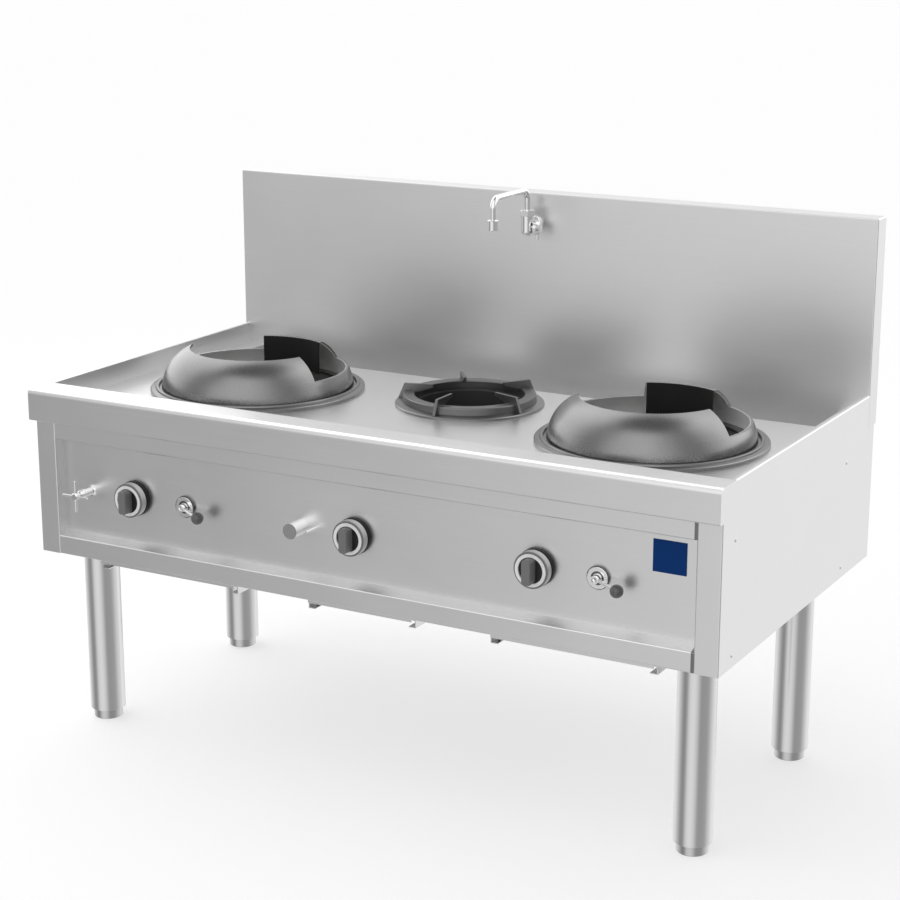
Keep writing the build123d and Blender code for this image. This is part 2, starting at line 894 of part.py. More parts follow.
def tap_body():
    front = panel_face - tap_proud + tap_hub_depth + 6
    body = turned_y(
        [
            (front, tap_stem_radius + running_gap),
            (front, tap_bonnet_radius - 2),
            (front + 2, tap_bonnet_radius),
            (front + 8, tap_bonnet_radius),
            (front + 8, tap_nut_radius),
            (front + 15, tap_nut_radius),
            (front + 15, tap_bonnet_radius),
            (panel_face - 4, tap_bonnet_radius),
            (panel_face - 3, tap_flange_radius),
            (panel_face, tap_flange_radius),
            (panel_face, tap_stem_radius + running_gap),
        ],
        tap_x,
        control_z,
    )
    return [body, valve(tap_x, tap_stem_radius)]


def tap_handle():
    front = panel_face - tap_proud
    end = panel_back + valve_neck + shaft_engagement
    hub = turned_y(
        [
            (front, 0),
            (front, tap_hub_radius - 2),
            (front + 2, tap_hub_radius),
            (front + tap_hub_depth, tap_hub_radius),
            (front + tap_hub_depth, tap_stem_radius),
            (end, tap_stem_radius),
            (end, 0),
        ],
        tap_x,
        control_z,
    )
    arm = Cylinder(tap_arm_radius, 2 * tap_arm_reach)
    arm = fillet(arm.edges().filter_by(GeomType.CIRCLE), tap_arm_radius * 0.6)
    middle = Pos(tap_x, front + tap_hub_depth / 2, control_z)
    return hub + middle * arm + middle * Rot(Y=90) * arm


def igniter_button():
    front = panel_face - button_proud
    button = bar(igniter_x, control_z, front, panel_back + button_inside, button_radius)
    return chamfer(button.edges().filter_by(GeomType.CIRCLE).sort_by(Axis.Y)[:1], 0.8)


def igniter_housing():
    housing = bar(igniter_x, control_z, panel_back, panel_back + igniter_depth, igniter_radius)
    depth = button_inside + button_travel + 4
    return housing - bar(igniter_x, control_z, panel_back, panel_back + depth, button_radius + running_gap)


def pilot_stem():
    stem = bar(pilot_x, control_z, panel_face - pilot_proud, panel_back, pilot_radius)
    stem = fillet(stem.edges().filter_by(GeomType.CIRCLE).sort_by(Axis.Y)[:1], 1)
    return stem + bar(pilot_x, control_z, panel_back, panel_back + 6, pilot_radius + 3)


# ---------------------------------------------------------------- pipes
def valve_feet():
    # Short risers from the manifold to the valves that stand over it.
    places = list(knob_places.values()) + list(lever_places.values())
    top = control_z - valve_height / 2
    return [post(x, valve_middle, manifold_z, top, burner_pipe_radius) for x in places]


def threaded_end(x, z, radius):
    # Male end behind the back panel: six-sided collar, then the threaded length.
    end = range_depth - pipe_end_inset
    collar = extrude(RegularPolygon(radius + inlet_hex_rim, 6), amount=inlet_hex)
    collar = Pos(x, end - inlet_thread, z) * Rot(X=90) * collar
    tail = chamfer(bar(x, z, end - inlet_thread, end, radius).edges().sort_by(Axis.Y)[-1:], 1)
    return collar + tail


def gas_piping():
    end = range_depth - pipe_end_inset - inlet_thread
    manifold = pipe(
        [
            (manifold_left, valve_middle, manifold_z),
            (gas_inlet_x, valve_middle, manifold_z),
            (gas_inlet_x, end, manifold_z),
        ],
        manifold_radius,
        2 * manifold_radius,
    )
    for riser in valve_feet():
        manifold += riser
    manifold += threaded_end(gas_inlet_x, manifold_z, gas_thread_radius)
    pieces = [manifold]
    start = panel_back + valve_neck + valve_depth
    for side, (x, y) in wok_places.items():
        burner_foot = well_bottom - burner_stem
        route = [
            (lever_places[side], start, control_z),
            (lever_places[side], pipe_drop_y, control_z),
            (lever_places[side], pipe_drop_y, burner_foot - 20),
            (x, pipe_drop_y, burner_foot - 20),
            (x, y, burner_foot - 20),
            (x, y, burner_foot),
        ]
        pieces.append(pipe(route, burner_pipe_radius, pipe_bend))
    centre_foot = deck_z - centre_well_depth - centre_well_cone - burner_stem
    centre_knob = knob_places["centre"]
    route = [
        (centre_knob, start - 2, control_z),
        (centre_x, centre_y, control_z),
        (centre_x, centre_y, centre_foot),
    ]
    valve_room = block(
        centre_knob - valve_width / 2,
        centre_knob + valve_width / 2,
        panel_back,
        start,
        control_z - valve_height / 2,
        control_z + valve_height / 2,
    )
    pieces.append(pipe(route, burner_pipe_radius, pipe_bend) - valve_room)
    return pieces


def water_pipe():
    start = panel_back + valve_neck + valve_depth
    supply = pipe(
        [
            (tap_x, range_depth - pipe_end_inset - inlet_thread, water_supply_z),
            (tap_x, valve_middle, water_supply_z),
            (tap_x, valve_middle, control_z - valve_height / 2),
        ],
        water_pipe_radius,
        2 * water_pipe_radius,
    )
    supply += threaded_end(tap_x, water_supply_z, water_thread_radius)
    feed = pipe(
        [
            (tap_x, start, control_z),
            (tap_x, pipe_drop_y, control_z),
            (tap_x, pipe_drop_y, water_return_z),
            (tap_x, water_riser_y, water_return_z),
            (0, water_riser_y, water_return_z),
            (0, water_riser_y, faucet_z + 2 * water_pipe_radius),
        ],
        water_pipe_radius,
        pipe_bend,
    )
    return [supply, feed]


def drain_pipe():
    route = [
        (drain_x, drain_y, gutter_floor - top_sheet),
        (drain_x, drain_y, drain_outlet_z),
        (drain_x, range_depth - pipe_end_inset, drain_outlet_z),
    ]
    return pipe(route, drain_radius, drain_bend) - pipe(route, drain_radius - drain_wall, drain_bend)


# ---------------------------------------------------------------- faucet
def faucet_body():
    z0, z1 = faucet_z - faucet_below, faucet_z + faucet_above
    body = turned([(0, z0), (8, z0), (faucet_radius, z0 + 8), (faucet_radius, z1), (0, z1)], 0, faucet_y)
    inlet = bar(0, faucet_z, faucet_y, water_riser_y - water_pipe_radius, faucet_inlet_radius)
    cover = bar(0, faucet_z, splash_front - escutcheon_depth, splash_front, escutcheon_radius)
    cover = fillet(cover.edges().filter_by(GeomType.CIRCLE).sort_by(Axis.Y)[:1], 4)
    bore = post(0, faucet_y, z1 - spout_engagement, z1, spout_radius + running_gap)
    stem_hole = Rot(Y=90) * Cylinder(faucet_pin_radius + running_gap, 12)
    return body + inlet + cover - bore - Pos(faucet_radius, faucet_y, faucet_z - 4) * stem_hole


def faucet_nut():
    low = faucet_z + faucet_above
    high = low + faucet_nut_height
    nut = Pos(0, faucet_y, low) * extrude(RegularPolygon(faucet_nut_radius, 6), amount=faucet_nut_height)
    nut &= turned(
        [
            (0, low),
            (faucet_nut_radius - 1.5, low),
            (faucet_nut_radius, low + 2),
            (faucet_nut_radius, high - 2),
            (faucet_nut_radius - 1.5, high),
            (0, high),
        ],
        0,
        faucet_y,
    )
    return nut - post(0, faucet_y, low, high, spout_radius + running_gap)


def faucet_spout():
    base = faucet_z + faucet_above - spout_engagement + 1
    tip_y = faucet_y - spout_reach
    route = [
        (0, faucet_y, base),
        (0, faucet_y, spout_height),
        (0, tip_y, spout_height),
        (0, tip_y, nozzle_bottom + aerator_height),
    ]
    tube = pipe(route, spout_radius, spout_bend)
    aerator = post(0, tip_y, nozzle_bottom, nozzle_bottom + aerator_height, aerator_radius)
    aerator = chamfer(aerator.edges().filter_by(GeomType.CIRCLE), 1)
    bore = post(0, tip_y, nozzle_bottom, nozzle_bottom + aerator_height - 8, aerator_bore)
    return tube + aerator - bore


def faucet_knob():
    z = faucet_z - 4
    start = faucet_radius + faucet_stub
    section = [
        (start - 8, 0),
        (start - 8, faucet_pin_radius),
        (start, faucet_pin_radius),
        (start, faucet_knob_radius - 5),
        (start + 4, faucet_knob_radius),
        (start + faucet_knob_width - 6, faucet_knob_radius),
        (start + faucet_knob_width - 1, faucet_knob_radius - 5),
        (start + faucet_knob_width, 0),
    ]
    knob_shape = revolve(make_face(Polyline(*section, close=True)), axis=Axis.X)
    pin_top = -faucet_knob_radius + 3
    pin_bottom = -faucet_knob_radius - faucet_pin_length
    pin = post(start + faucet_knob_width / 2, 0, pin_bottom, pin_top, faucet_pin_radius)
    return Pos(0, faucet_y, z) * (knob_shape + pin)


# ---------------------------------------------------------------- assembly
parts["front_rail"] = front_rail()
parts["side_rail_right"] = side_rail()
parts["side_rail_left"] = mirrored(side_rail())
parts["deck_plate"] = deck_plate()
parts["gutter_trough"] = gutter_trough()
parts["gutter_strainer"] = gutter_strainer()
parts["backsplash"] = backsplash()
parts["side_panel_right"] = side_panel()
parts["side_panel_left"] = mirrored(side_panel())
parts["front_top_rail"] = front_top_rail()
parts["front_bottom_rail"] = front_bottom_rail()
parts["control_panel"] = control_panel()
parts["back_panel"] = back_panel()
parts["bottom_frame"] = bottom_frame()
parts["legs"] = [leg(x, y) for x, y in leg_places.values()]
for name, (x, y) in leg_places.items():
    parts[f"foot_{name}"] = foot(x, y)
parts["tray_runners"] = [
    tray_runner(x, half, side) for x, half in tray_places.values() for side in (-1, 1)
]
for name, (x, half) in tray_places.items():
    parts[f"drip_tray_{name}"] = drip_tray(x, half)
for name, (x, y) in wok_places.items():
    parts[f"wok_well_{name}"] = burner_well(x, y, well_radius, well_flange, well_depth, well_cone, well_throat)
    parts[f"wok_base_ring_{name}"] = wok_base_ring(x, y)
    parts[f"wok_collar_{name}"] = wok_collar(x, y)
    parts[f"flame_guard_{name}"] = flame_guard(x, y)
parts["wok_burners"] = [wok_burner(x, y) for x, y in wok_places.values()]
parts["centre_well"] = burner_well(
    centre_x,
    centre_y,
    centre_well_radius,
    centre_well_flange,
    centre_well_depth,
    centre_well_cone,
    centre_well_throat,
)
parts["centre_base_ring"] = centre_base_ring()
parts["centre_trivet"] = centre_trivet()
parts["centre_burner"] = centre_burner()
for name, x in knob_places.items():
    parts[f"knob_{name}"] = knob(x)
parts["knob_bezels"] = [knob_bezel(x) for x in knob_places.values()]
parts["gas_valves"] = gas_valves()
parts["lever_bases"] = [lever_base(x) for x in lever_places.values()]
for name, x in lever_places.items():
    parts[f"lever_arm_{name}"] = lever_arm(x)
    parts[f"lever_ball_{name}"] = lever_ball(x)
parts["tap_body"] = tap_body()
parts["tap_handle"] = tap_handle()
parts["igniter_housing"] = igniter_housing()
parts["igniter_button"] = igniter_button()
parts["pilot_stem"] = pilot_stem()
parts["gas_piping"] = gas_piping()
parts["water_pipe"] = water_pipe()
parts["drain_pipe"] = drain_pipe()
parts["faucet_body"] = faucet_body()
parts["faucet_nut"] = faucet_nut()
parts["faucet_spout"] = faucet_spout()
parts["faucet_knob"] = faucet_knob()

os.makedirs("parts", exist_ok=True)
for name, shape in parts.items():
    solids = shape if isinstance(shape, list) else [shape]
    placed = [Pos(0, -middle_depth) * solid for item in solids for solid in item.solids()]
    export_step(Compound(children=placed) if len(placed) > 1 else placed[0], f"parts/{name}.step")
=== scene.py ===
import math
import bmesh
import bpy
from mathutils import Matrix, Vector


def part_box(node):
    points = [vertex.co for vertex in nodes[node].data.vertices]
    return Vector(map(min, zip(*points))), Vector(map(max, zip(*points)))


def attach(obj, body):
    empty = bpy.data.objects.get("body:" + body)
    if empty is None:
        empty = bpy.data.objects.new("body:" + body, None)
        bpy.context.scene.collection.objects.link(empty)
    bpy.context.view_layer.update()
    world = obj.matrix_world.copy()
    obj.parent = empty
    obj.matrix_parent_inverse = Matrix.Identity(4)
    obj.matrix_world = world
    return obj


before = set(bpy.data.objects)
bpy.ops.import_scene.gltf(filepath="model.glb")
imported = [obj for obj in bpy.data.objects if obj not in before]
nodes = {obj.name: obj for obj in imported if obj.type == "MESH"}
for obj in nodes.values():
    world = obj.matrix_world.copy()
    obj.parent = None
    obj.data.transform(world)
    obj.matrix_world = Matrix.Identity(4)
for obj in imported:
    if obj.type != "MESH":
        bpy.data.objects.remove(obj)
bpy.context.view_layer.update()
print("frame loaded,", len(nodes), "nodes")


class Wire:  # a socket that can be used in an expression
    def __init__(self, tree, socket=None):
        self.tree = tree
        self.socket = socket

    def make(self, kind, settings=None, inputs=None, out=0):
        made = self.tree.nodes.new(kind)
        for name, value in (settings or {}).items():
            if name == "stops":
                ramp = made.color_ramp
                while len(ramp.elements) < len(value):
                    ramp.elements.new(0.5)  # moved to its own place below
                for element, (place, shade) in zip(ramp.elements, value):
                    element.position = place
                    element.color = asColour(shade)
            else:
                setattr(made, name, value)
        for name, value in (inputs or {}).items():
            if isinstance(value, Wire):
                self.tree.links.new(value.socket, made.inputs[name])
            else:
                made.inputs[name].default_value = value
        return Wire(self.tree, None if out is None else made.outputs[out])

    def math(self, operation, first, second):
        return self.make("ShaderNodeMath", {"operation": operation}, {0: first, 1: second})

    def __add__(self, other):
        return self.math("ADD", self, other)

    def __sub__(self, other):
        return self.math("SUBTRACT", self, other)

    def __mul__(self, other):
        return self.math("MULTIPLY", self, other)

    def __pow__(self, other):
        return self.math("POWER", self, other)

    def __gt__(self, other):
        return self.math("GREATER_THAN", self, other)

    def __lt__(self, other):
        return self.math("LESS_THAN", self, other)

    def __abs__(self):
        return self.math("ABSOLUTE", self, 0.0)

    def __rsub__(self, other):
        return self.math("SUBTRACT", other, self)

    __radd__ = __add__
    __rmul__ = __mul__

    def between(self, low, high):
        return (self > low) * (self < high)

    def ease(self, low, high):  # 0 at low, 1 at high
        limits = {"Value": self, "From Min": low, "From Max": high}
        return self.make("ShaderNodeMapRange", {"interpolation_type": "SMOOTHSTEP"}, limits)

    def tint(self, low, high):  # the first colour where this is 0, the second where it is 1
        ends = {0: self, 6: asColour(low), 7: asColour(high)}  # 6 and 7 are the Mix node's colours
        return self.make("ShaderNodeMix", {"data_type": "RGBA"}, ends, 2)

    def axes(self):
        return [self.make("ShaderNodeSeparateXYZ", None, {0: self}, i) for i in range(3)]


def asColour(shade):
    if isinstance(shade, Wire):
        return shade
    if isinstance(shade, tuple):
        return (*shade, 1.0)
    return (shade, shade, shade, 1.0)


def radiusOf(first, second):
    return (first * first + second * second) ** 0.5


def newFinish(name, metallic):
    material = bpy.data.materials.new(name)
    material.use_nodes = True
    shader = material.node_tree.nodes["Principled BSDF"]
    shader.inputs["Metallic"].default_value = metallic
    return shader, Wire(material.node_tree).make("ShaderNodeTexCoord", out="Object")


def feed(shader, **links):
    for socket, value in links.items():
        shader.id_data.links.new(value.socket, shader.inputs[socket.replace("_", " ")])


def centred(place, centre=(0, 0, 0), turn=(0, 0, 0), scale=(1, 1, 1)):
    away = place.make("ShaderNodeVectorMath", {"operation": "SUBTRACT"}, {0: place, 1: centre})
    return away.make("ShaderNodeMapping", None, {"Vector": away, "Rotation": turn, "Scale": scale})


def speckle(place, scale, detail=2.0, rough=0.5):  # noise from -0.5 to 0.5
    looks = {"Vector": place, "Scale": scale, "Detail": detail, "Roughness": rough}
    return place.make("ShaderNodeTexNoise", None, looks) - 0.5


def raised(height, strength, distance):
    return height.make("ShaderNodeBump", None, {"Strength": strength, "Distance": distance, "Height": height})


def paint(finish, *names):
    for name in names:
        mesh = nodes[name].data
        mesh.materials.clear()
        mesh.materials.append(bpy.data.materials[finish])


# In the looks below, a noise is its scale, detail and roughness,
# and a bump its strength and its distance in metres.
sheetLook = {
    "shade": 0.78,
    "rough": 0.33,
    "across": 700.0,  # how fine the grain is across the rolling direction
    "along": 5.0,
    "grain": (1.0, 3.0, 0.6),
    "cloud": (3.0, 3.0, 0.55),
    "grainTone": 0.05,
    "cloudTone": 0.05,
    "grainRough": 0.10,
    "cloudRough": 0.08,
    "bump": (0.04, 0.0003),
}


def rolledSheet(name, along, shade=sheetLook["shade"], rough=sheetLook["rough"]):
    shader, here = newFinish(name, 1.0)
    stretch = [sheetLook["across"]] * 3
    stretch["XYZ".index(along)] = sheetLook["along"]
    grain = speckle(centred(here, scale=tuple(stretch)), *sheetLook["grain"])
    cloud = speckle(here, *sheetLook["cloud"])
    tone = shade + grain * sheetLook["grainTone"] + cloud * sheetLook["cloudTone"]
    feed(shader, Base_Color=tone.tint(0.0, 1.0))
    feed(shader, Roughness=rough + grain * sheetLook["grainRough"] + cloud * sheetLook["cloudRough"])
    feed(shader, Normal=raised(grain, *sheetLook["bump"]))
    return shader, here, tone


frontLook = {
    "ledge": (0.4885, 0.5015),  # heights of the sloped ledge under the panel
    "ledgeBack": -0.4178,
    "fold": (0.841, 0.845),  # heights where the rolled top edge turns over
    "foldBack": -0.4555,
    "paintedHighlight": 0.22,  # painted highlight: how much lighter ledge and fold are
    "gapShade": (0.8115, 0.8172),  # painted shade in the gap beside the right post, from left to right
    "gapShadeTop": 0.77,
    "gapShadeDark": 0.72,
}


def frontSheet(name):
    shader, here, tone = rolledSheet(name, "X")
    x, y, z = here.axes()
    ledge = z.between(*frontLook["ledge"]) * (y < frontLook["ledgeBack"])
    fold = z.ease(*frontLook["fold"]) * (y < frontLook["foldBack"])
    # painted shade: a dark line in the gap beside the right post
    gapShade = x.between(*frontLook["gapShade"]) * (z < frontLook["gapShadeTop"])
    # painted highlight on the sloped ledge and on the rolled top edge
    tone = (tone + (ledge + fold) * frontLook["paintedHighlight"]) * (1.0 - gapShade * frontLook["gapShadeDark"])
    feed(shader, Base_Color=tone.tint(0.0, 1.0))


castLook = {
    "sand": (480.0, 3.0, 0.6),
    "cloud": (9.0, 3.0, 0.55),
    "cloudTone": 0.35,
    "sandTone": 0.25,
    "sandRough": 0.14,
    "cloudRough": 0.12,
    "bump": (0.12, 0.0006),
}


def castMetal(name, shade, rough, metallic):
    shader, here = newFinish(name, metallic)
    sand = speckle(here, *castLook["sand"])
    cloud = speckle(here, *castLook["cloud"])
    tone = shade * (1.0 + cloud * castLook["cloudTone"] + sand * castLook["sandTone"])
    feed(shader, Base_Color=tone.tint(0.0, 1.0))
    feed(shader, Roughness=rough + sand * castLook["sandRough"] + cloud * castLook["cloudRough"])
    feed(shader, Normal=raised(sand, *castLook["bump"]))


collarLook = {
    "shade": 0.25,
    # painted light: the inside wall gets a far lighter colour than the outside
    "inside": 0.95,
    "rough": 0.28,
    "insideRough": 0.2,
    "insideDull": 0.8,  # how much less metallic the inside is
    "place": (0.527, -0.023, 0.798),  # middle of the right collar, at deck level
    "ringRadius": 0.123,  # from the collar's axis to the middle of the wall's arc
    "wall": 0.1070,  # nearer than this to the arc's middle is the inside, where light is painted
    "sand": (480.0, 3.0, 0.6),
    "cloud": (9.0, 3.0, 0.55),
    "cloudTone": 0.30,
    "sandTone": 0.10,
    "sandRough": 0.08,
    "cloudRough": 0.10,
    "bump": (0.035, 0.0004),
}


def collarFinish(name):
    shader, here = newFinish(name, 1.0)
    x, y, z = here.axes()
    acrossMid, depthMid, heightMid = collarLook["place"]
    x, y, z = abs(x) - acrossMid, y - depthMid, z - heightMid  # abs serves both collars at once
    out = radiusOf(x, y) - collarLook["ringRadius"]
    inside = radiusOf(out, z) < collarLook["wall"]
    sand = speckle(here, *collarLook["sand"])
    cloud = speckle(here, *collarLook["cloud"])
    # painted light on the collar's inside wall
    tone = collarLook["shade"] + inside * (collarLook["inside"] - collarLook["shade"])
    tone = tone * (1.0 + cloud * collarLook["cloudTone"] + sand * collarLook["sandTone"])
    rough = collarLook["rough"] + inside * collarLook["insideRough"]
    rough = rough + sand * collarLook["sandRough"] + cloud * collarLook["cloudRough"]
    feed(shader, Base_Color=tone.tint(0.0, 1.0), Metallic=1.0 - inside * collarLook["insideDull"])
    feed(shader, Roughness=rough)
    feed(shader, Normal=raised(sand, *collarLook["bump"]))


turnedLook = {"cloud": (38.0, 3.0), "cloudTone": 0.05, "cloudRough": 0.06}


def turnedMetal(name, shade, rough, colour=1.0):
    shader, here = newFinish(name, 1.0)
    cloud = speckle(here, *turnedLook["cloud"])
    feed(shader, Base_Color=(shade + cloud * turnedLook["cloudTone"]).tint(0.0, colour))
    feed(shader, Roughness=rough + cloud * turnedLook["cloudRough"])


plasticLook = {"pores": 900.0, "poreTone": 0.3, "poreRough": 0.10, "bump": (0.06, 0.0002)}


def mouldedPlastic(name, shade, rough, gloss=0.5):
    shader, here = newFinish(name, 0.0)
    pores = speckle(here, plasticLook["pores"])
    feed(shader, Base_Color=(shade * (1.0 + pores * plasticLook["poreTone"])).tint(0.0, 1.0))
    feed(shader, Roughness=rough + pores * plasticLook["poreRough"])
    feed(shader, Normal=raised(pores, *plasticLook["bump"]))
    shader.inputs["Specular IOR Level"].default_value = gloss


guardLook = {
    "shade": 0.009,
    "endHighlightWidth": 0.0022,  # painted highlight along the plate's left end, this wide
    "endHighlight": 0.8,
    "gloss": 0.35,
    "rough": 0.50,
    "sand": (420.0, 3.0, 0.6),
    "sandTone": 0.5,
    "sandRough": 0.14,
    "bump": (0.12, 0.0006),
}


def guardFinish(side):
    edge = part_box("flame_guard_" + side)[0].x + guardLook["endHighlightWidth"]
    shader, here = newFinish("guardFinish_" + side, 0.0)
    endHighlightBand = here.axes()[0] < edge
    sand = speckle(here, *guardLook["sand"])
    # painted highlight along the plate's left end
    tone = guardLook["shade"] * (1.0 + sand * guardLook["sandTone"]) + endHighlightBand * guardLook["endHighlight"]
    feed(shader, Base_Color=tone.tint(0.0, 1.0))
    shader.inputs["Specular IOR Level"].default_value = guardLook["gloss"]
    feed(shader, Roughness=guardLook["rough"] + sand * guardLook["sandRough"])
    feed(shader, Normal=raised(sand, *guardLook["bump"]))
    paint("guardFinish_" + side, "flame_guard_" + side)


wellLook = {
    "deep": 0.60,  # heights between which the painted shade down the well fades out
    "top": 0.79,
    "dark": 0.20,
    "light": 0.50,
    "colour": (1.0, 0.97, 0.94),
    "rough": 0.42,
    "stain": (14.0, 4.0, 0.6),
    "stainTone": 0.10,
    "stainRough": 0.25,
}


def wellFinish(name):
    shader, here = newFinish(name, 1.0)
    stain = speckle(here, *wellLook["stain"])
    # painted shade: darker towards the bottom of the well
    lit = here.axes()[2].ease(wellLook["deep"], wellLook["top"])
    tone = wellLook["dark"] + lit * (wellLook["light"] - wellLook["dark"]) + stain * wellLook["stainTone"]
    feed(shader, Base_Color=tone.tint(0.0, wellLook["colour"]))
    feed(shader, Roughness=wellLook["rough"] + stain * wellLook["stainRough"])


knobLook = {
    "height": 0.6055,
    "gripDeep": 0.022,  # from the grip's front to the face of the knob
    "ringInner": 0.0285,
    "ringOuter": 0.0363,
    "bandDeep": 0.0035,
    "wallGap": 0.003,
    "wallDeep": 0.003,
    "dishLap": 0.001,
    "dishDeep": 0.004,
    "ring": 1.0,
    "side": 0.52,
    "grip": 0.19,
    "dish": 0.02,
    "rough": 0.34,
    "bandRough": 0.10,
    "pores": 900.0,
    "poreRough": 0.06,
}


def knobFinish(side):
    low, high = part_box("knob_" + side)
    shader, here = newFinish("knobFinish_" + side, 0.0)
    middle = ((low.x + high.x) / 2, low.y + knobLook["gripDeep"], knobLook["height"])
    x, y, z = centred(here, middle).axes()
    radius = radiusOf(x, z)
    band = radius.between(knobLook["ringInner"], knobLook["ringOuter"]) * (y < knobLook["bandDeep"])
    wall = (radius > knobLook["ringOuter"] + knobLook["wallGap"]) * (y > knobLook["wallDeep"])
    dish = (radius < knobLook["ringInner"] + knobLook["dishLap"]) * (y > knobLook["dishDeep"])
    pores = speckle(here, knobLook["pores"])
    face = dish.tint(knobLook["grip"], knobLook["dish"])
    feed(shader, Metallic=wall)
    feed(shader, Base_Color=(band + wall).tint(face, wall.tint(knobLook["ring"], knobLook["side"])))
    feed(shader, Roughness=knobLook["rough"] - band * knobLook["bandRough"] + pores * knobLook["poreRough"])
    paint("knobFinish_" + side, "knob_" + side)


leverLook = {
    "middle": 0.0625,  # half way between the two discs
    "apart": 0.5265,  # from there to each disc
    "height": 0.6055,
    # painted shade: a dark ring round the hub and a dark rim
    "hubShadeRing": (0.0105, 0.0150),
    "lip": 0.0238,
    "shade": 0.86,
    "paintedShade": 0.72,  # how much darker the painted shade round the hub and at the rim is
    "rough": 0.10,
    "cloud": (38.0, 3.0),
    "cloudTone": 0.05,
    "cloudRough": 0.06,
}


def leverFinish(name):
    shader, here = newFinish(name, 1.0)
    x, y, z = here.axes()
    x, z = abs(x - leverLook["middle"]) - leverLook["apart"], z - leverLook["height"]
    radius = radiusOf(x, z)
    # painted shade round the hub and at the rim
    dark = radius.between(*leverLook["hubShadeRing"]) + (radius > leverLook["lip"])
    cloud = speckle(here, *leverLook["cloud"])
    tone = leverLook["shade"] - dark * leverLook["paintedShade"] + cloud * leverLook["cloudTone"]
    feed(shader, Base_Color=tone.tint(0.0, 1.0))
    feed(shader, Roughness=leverLook["rough"] + cloud * leverLook["cloudRough"])


buttonLook = {
    "face": 0.31,
    "depth": 0.0009,  # how far the face reaches back
    "tube": 0.86,
    "rough": 0.50,
    "tubeShine": 0.42,  # how much less rough the tube is
    "pores": 900.0,
    "poreRough": 0.05,
}


def buttonFinish(name):
    shader, here = newFinish(name, 0.0)
    front = (0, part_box("igniter_button")[0].y, 0)
    shell = centred(here, front).axes()[1] > buttonLook["depth"]
    pores = speckle(here, buttonLook["pores"])
    rough = buttonLook["rough"] - shell * buttonLook["tubeShine"] + pores * buttonLook["poreRough"]
    feed(shader, Metallic=shell, Base_Color=shell.tint(buttonLook["face"], buttonLook["tube"]))
    feed(shader, Roughness=rough)


rolledSheet("sheetAcross", "X")
frontSheet("sheetFront")
rolledSheet("sheetSplash", "X", 0.78, 0.37)  # here and below, a shade and then a roughness
rolledSheet("sheetDeep", "Y")
rolledSheet("tubeUpright", "Z", 0.75, 0.24)
castMetal("castRing", 0.25, 0.32, 1.0)
collarFinish("castCollar")
castMetal("castFins", 0.20, 0.40, 1.0)
castMetal("burnerIron", 0.07, 0.60, 0.6)
# a very dark iron for the centre well
castMetal("sootedIron", 0.06, 0.55, 0.5)
turnedMetal("brightChrome", 0.88, 0.06)
turnedMetal("valveBrass", 0.75, 0.25, (1.0, 0.80, 0.42))
turnedMetal("pipeSteel", 0.48, 0.40)
turnedMetal("footSteel", 0.62, 0.26)
mouldedPlastic("bezelBlack", 0.008, 0.46, 0.2)
mouldedPlastic("ballGrey", 0.12, 0.16)
for side in ("left", "right"):
    guardFinish(side)
wellFinish("wellSteel")
for side in ("left", "centre", "right"):
    knobFinish(side)
leverFinish("leverDisc")
buttonFinish("pushButton")

paint("sheetFront", "front_rail", "front_top_rail", "front_bottom_rail", "control_panel")
paint("sheetSplash", "backsplash")
paint("sheetAcross", "back_panel", "deck_plate", "gutter_trough", "gutter_strainer")
paint("sheetDeep", "side_rail_left", "side_rail_right", "side_panel_left", "side_panel_right", "bottom_frame")
paint("sheetDeep", "tray_runners", "drip_tray_left", "drip_tray_centre", "drip_tray_right")
paint("tubeUpright", "legs")
paint("footSteel", *[name for name in nodes if name.startswith("foot_")])
paint("castCollar", "wok_collar_left", "wok_collar_right")
paint("castRing", "wok_base_ring_left", "wok_base_ring_right", "centre_base_ring")
paint("castFins", "centre_trivet")
paint("burnerIron", "wok_burners", "centre_burner")
paint("wellSteel", "wok_well_left", "wok_well_right")
paint("sootedIron", "centre_well")
paint("leverDisc", "lever_bases")
paint("brightChrome", "lever_arm_left", "lever_arm_right", "tap_body", "tap_handle", "pilot_stem")
paint("brightChrome", "faucet_body", "faucet_nut", "faucet_spout", "faucet_knob", "igniter_housing")
paint("ballGrey", "lever_ball_left", "lever_ball_right")
paint("bezelBlack", "knob_bezels")
paint("pushButton", "igniter_button")
paint("valveBrass", "gas_valves")
paint("pipeSteel", "gas_piping", "water_pipe", "drain_pipe")
print("finishes painted")


def addPiece(name, shape, body, finish, smooth=False):
    for face in shape.faces:
        face.smooth = smooth
    mesh = bpy.data.meshes.new(name)
    shape.to_mesh(mesh)
    shape.free()
    mesh.materials.append(bpy.data.materials[finish])
    piece = bpy.data.objects.new(name, mesh)
    bpy.context.scene.collection.objects.link(piece)
    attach(piece, body)


badge = {
    "left": 0.710,
    "right": 0.785,
    "low": 0.639,
    "high": 0.709,
    "thick": 0.0015,
    "edge": 0.0005,
    "edgeSteps": 2,
    "deepBlue": (0.000, 0.034, 0.165),
    "paleBlue": (0.001, 0.040, 0.190),
    "rough": 0.34,
    "gloss": 0.1,
    "speck": (260.0, 3.0),
    "speckRough": 0.08,
}


def badgeFinish(name):
    shader, here = newFinish(name, 0.0)
    speck = speckle(here, *badge["speck"])
    feed(shader, Base_Color=(speck + 0.5).tint(badge["deepBlue"], badge["paleBlue"]))
    feed(shader, Roughness=badge["rough"] + speck * badge["speckRough"])
    shader.inputs["Specular IOR Level"].default_value = badge["gloss"]


